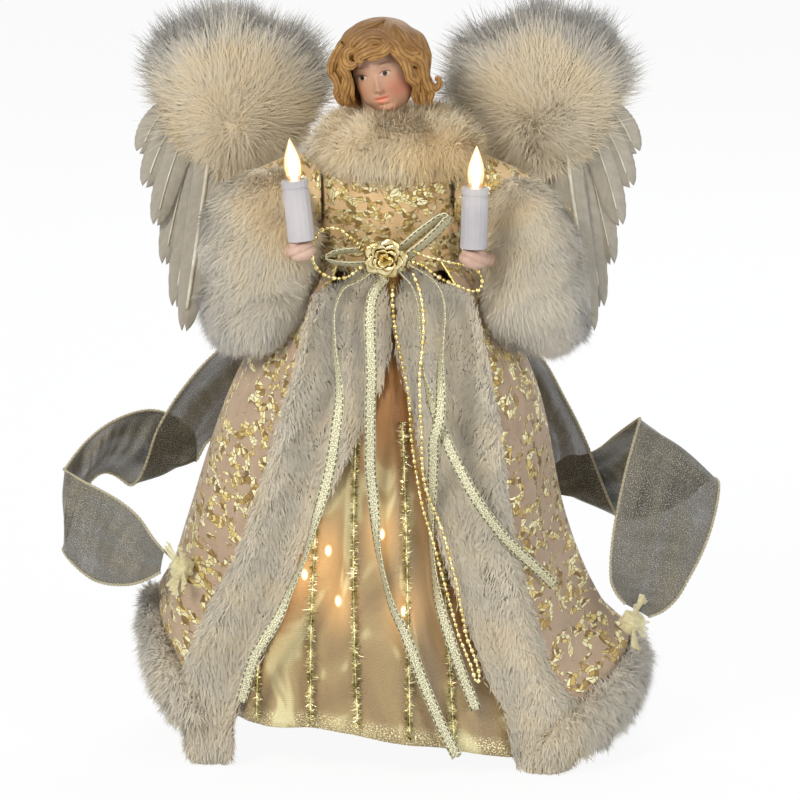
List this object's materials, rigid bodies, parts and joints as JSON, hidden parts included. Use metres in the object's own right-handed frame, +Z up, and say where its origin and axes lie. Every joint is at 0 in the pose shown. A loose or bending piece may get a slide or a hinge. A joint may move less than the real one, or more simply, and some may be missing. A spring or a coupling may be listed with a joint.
{
  "type": "angel tree topper",
  "caption": "Lighted angel tree topper: fur-trimmed brocade coat over a satin skirt on a stiff cone, with raised candles, feather wings, sheer ribbons and hanging gold trim.",
  "frame": {"origin": "below the middle of the figure's box, on the surface that its lowest fur stands on; the cone's axis is at y = -8.6 mm", "axes": "+Z up, the figure faces -Y, +X towards the viewer's right"},
  "size_m": [0.2775, 0.1586, 0.305],
  "materials": {
    "card": "coated white card",
    "wire": "green lead and lamp holders",
    "lamp_glass": "clear",
    "stuffing": "moulded foam",
    "resin": "painted resin",
    "hand_resin": "painted resin",
    "brocade": "cream and gold brocade",
    "satin": "gold satin",
    "fur": "cream imitation fur",
    "fluff": "marabou fluff",
    "feather": "quill feathers on card",
    "white_plastic": "white",
    "gold": "metallised gold",
    "tape": "woven metallic tape",
    "organza": "sheer sparkling mesh",
    "knot": "pale yellow sheer fabric",
    "steel": "plain wire and sheet"
  },
  "bodies": {
    "figure": {"base_cone": "card", "tree_tube": "card", "lower_disc": "card", "stop_disc": "card", "light_string": "wire", "skirt_bulb_1": "lamp_glass", "skirt_bulb_2": "lamp_glass", "skirt_bulb_3": "lamp_glass", "skirt_bulb_4": "lamp_glass", "skirt_bulb_5": "lamp_glass", "skirt_bulb_6": "lamp_glass", "skirt_bulb_7": "lamp_glass", "skirt_bulb_8": "lamp_glass", "torso_form": "stuffing", "head": "resin", "bodice": "brocade", "coat": "brocade", "satin_skirt": "satin", "collar_fur": "fur", "fur_hem": "fur", "fur_front_left": "fur", "fur_front_right": "fur", "rose": "gold", "tinsel_1": "gold", "tinsel_2": "gold", "tinsel_3": "gold", "tinsel_4": "gold", "tinsel_5": "gold", "bead_loop_left": "gold", "bead_loop_right": "gold", "bead_loop_long": "gold", "bow_loop_left": "tape", "bow_loop_right": "tape", "ribbon_tail_1": "tape", "ribbon_tail_2": "tape", "ribbon_tail_3": "tape", "ribbon_tail_4": "tape", "organza_ribbon_left": "organza", "organza_ribbon_right": "organza", "organza_knot_left": "knot", "organza_knot_right": "knot", "wing_bracket": "steel"},
    "arm_left": {"sleeve_left": "brocade", "cuff_fur_left": "fur", "hand_left": "hand_resin", "arm_wire_left": "steel", "candle_tube_left": "white_plastic", "candle_socket_left": "white_plastic"},
    "bulb_left": {"candle_bulb_left": "lamp_glass"},
    "wing_left": {"wing_feathers_left": "feather", "wing_fluff_left": "fluff"},
    "arm_right": {"sleeve_right": "brocade", "cuff_fur_right": "fur", "hand_right": "hand_resin", "arm_wire_right": "steel", "candle_tube_right": "white_plastic", "candle_socket_right": "white_plastic"},
    "bulb_right": {"candle_bulb_right": "lamp_glass"},
    "wing_right": {"wing_feathers_right": "feather", "wing_fluff_right": "fluff"}
  },
  "joints": [
    {"name": "shoulder_left", "type": "hinge", "parent": "figure", "child": "arm_left", "pos_m": [-0.028, -0.0066, 0.2325], "axis": [-1, 0, 0], "range_deg": [0, 15]},
    {"name": "candle_bulb_left_pull", "type": "slide", "parent": "arm_left", "child": "bulb_left", "axis": [-0.1115, 0, 0.9938], "range_m": [0, 0.012]},
    {"name": "wing_left_fold", "type": "hinge", "parent": "figure", "child": "wing_left", "pos_m": [-0.012, 0.0244, 0.229], "axis": [0, 0, -1], "range_deg": [0, 30]},
    {"name": "shoulder_right", "type": "hinge", "parent": "figure", "child": "arm_right", "pos_m": [0.028, -0.0066, 0.2325], "axis": [-1, 0, 0], "range_deg": [0, 15]},
    {"name": "candle_bulb_right_pull", "type": "slide", "parent": "arm_right", "child": "bulb_right", "axis": [0.0279, 0, 0.9996], "range_m": [0, 0.012]},
    {"name": "wing_right_fold", "type": "hinge", "parent": "figure", "child": "wing_right", "pos_m": [0.012, 0.0244, 0.229], "axis": [0, 0, 1], "range_deg": [0, 30]}
  ]
}
